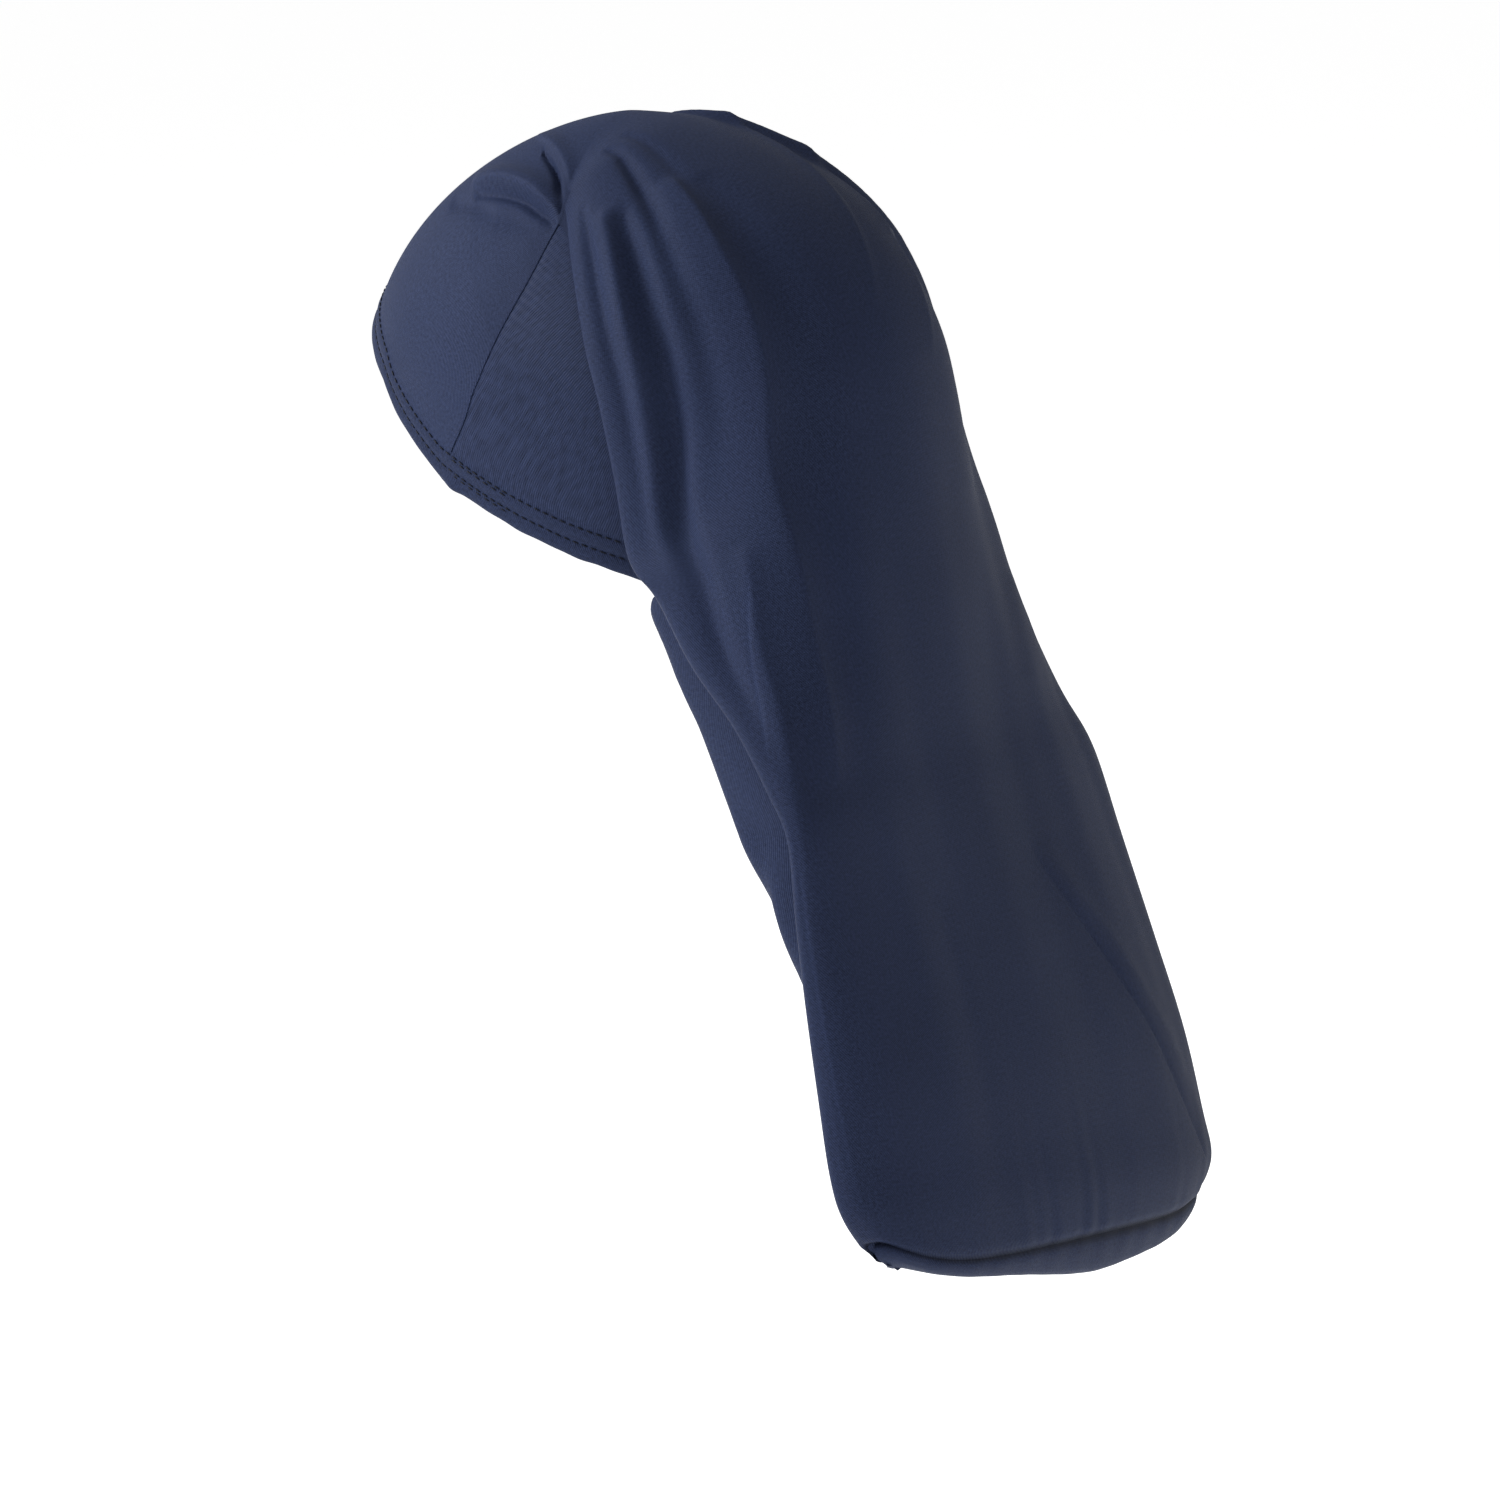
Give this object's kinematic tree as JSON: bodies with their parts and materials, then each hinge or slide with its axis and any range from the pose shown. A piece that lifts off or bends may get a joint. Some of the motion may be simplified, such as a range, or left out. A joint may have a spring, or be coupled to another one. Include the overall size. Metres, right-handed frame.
{
  "type": "long sleep bonnet",
  "caption": "Long jersey sleep bonnet in its worn form: close cap with turned hem, side seams and a broad flat hair bag hanging down the back.",
  "frame": {"origin": "inside of the crown's top, where the top of the wearer's head bears", "axes": "-Z down through the head opening, +Y to the back of the head, +X to the wearer's left"},
  "size_m": [0.24, 0.2659, 0.3864],
  "materials": {
    "jersey_outer": "soft navy jersey with a slight sheen",
    "jersey_side": "soft navy jersey",
    "jersey_under": "soft navy jersey",
    "jersey_hem": "turned navy jersey hem with navy stitching"
  },
  "bodies": {
    "root": {"crown_bag_panel": "jersey_outer", "side_band": "jersey_side", "under_panel": "jersey_under", "hem_band": "jersey_hem"}
  },
  "joints": []
}
